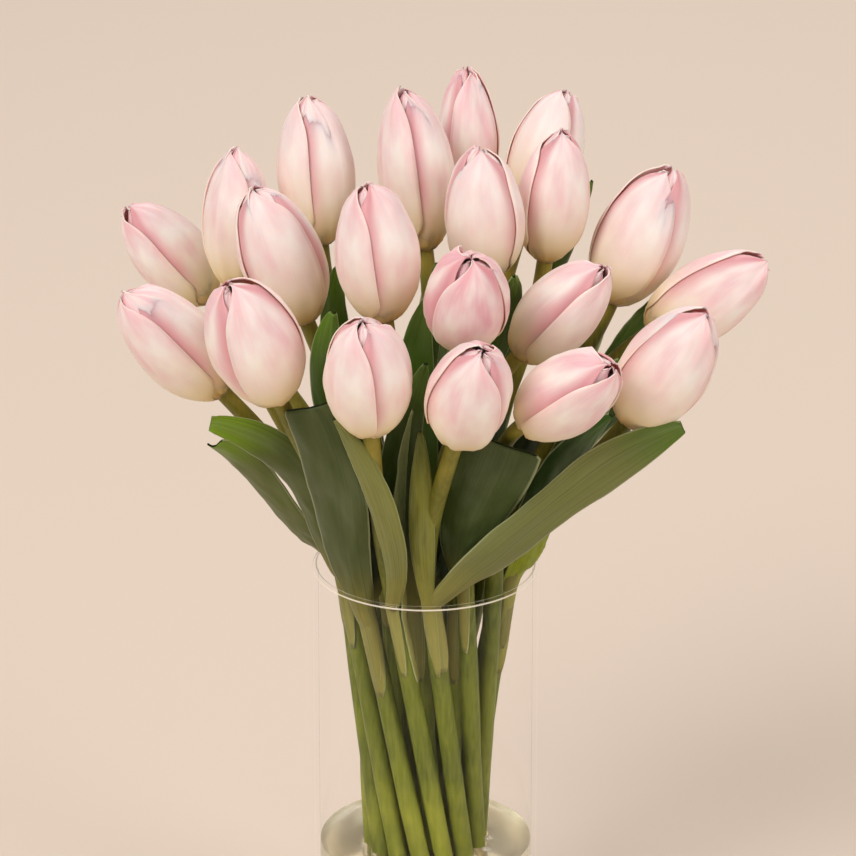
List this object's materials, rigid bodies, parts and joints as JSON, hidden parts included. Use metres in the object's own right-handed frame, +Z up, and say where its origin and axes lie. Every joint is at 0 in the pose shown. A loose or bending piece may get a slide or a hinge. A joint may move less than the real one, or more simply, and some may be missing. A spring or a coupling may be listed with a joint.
{
  "type": "cut tulips in a glass vase",
  "caption": "Full bunch of pale pink tulips with their leaves, spiralling down into a clear glass cylinder vase that holds a little water.",
  "frame": {"origin": "middle of the vase's underside, on the table", "axes": "+Z up along the vase's axis; -Y towards the viewer, the side that the picture shows; +X to the viewer's right"},
  "size_m": [0.2864, 0.1969, 0.4067],
  "materials": {
    "glass": "clear and polished, with a fire-polished rim",
    "water": "clear and still, very slightly green",
    "green": "waxy satin leaf and stem, blue-green with a dusty bloom, yellow-green at the stems",
    "petals": "silky matte petal, ivory flushed with blush pink, cream-yellow at the base"
  },
  "bodies": {
    "root": {"vase": "glass", "water": "water", "leafy_stem_01": "green", "leafy_stem_02": "green", "leafy_stem_03": "green", "leafy_stem_04": "green", "leafy_stem_05": "green", "leafy_stem_06": "green", "leafy_stem_07": "green", "leafy_stem_08": "green", "leafy_stem_09": "green", "leafy_stem_10": "green", "leafy_stem_11": "green", "leafy_stem_12": "green", "leafy_stem_13": "green", "leafy_stem_14": "green", "leafy_stem_15": "green", "leafy_stem_16": "green", "leafy_stem_17": "green", "leafy_stem_18": "green", "leafy_stem_19": "green", "leafy_stem_20": "green", "bloom_01": "petals", "bloom_02": "petals", "bloom_03": "petals", "bloom_04": "petals", "bloom_05": "petals", "bloom_06": "petals", "bloom_07": "petals", "bloom_08": "petals", "bloom_09": "petals", "bloom_10": "petals", "bloom_11": "petals", "bloom_12": "petals", "bloom_13": "petals", "bloom_14": "petals", "bloom_15": "petals", "bloom_16": "petals", "bloom_17": "petals", "bloom_18": "petals", "bloom_19": "petals", "bloom_20": "petals"}
  },
  "joints": []
}
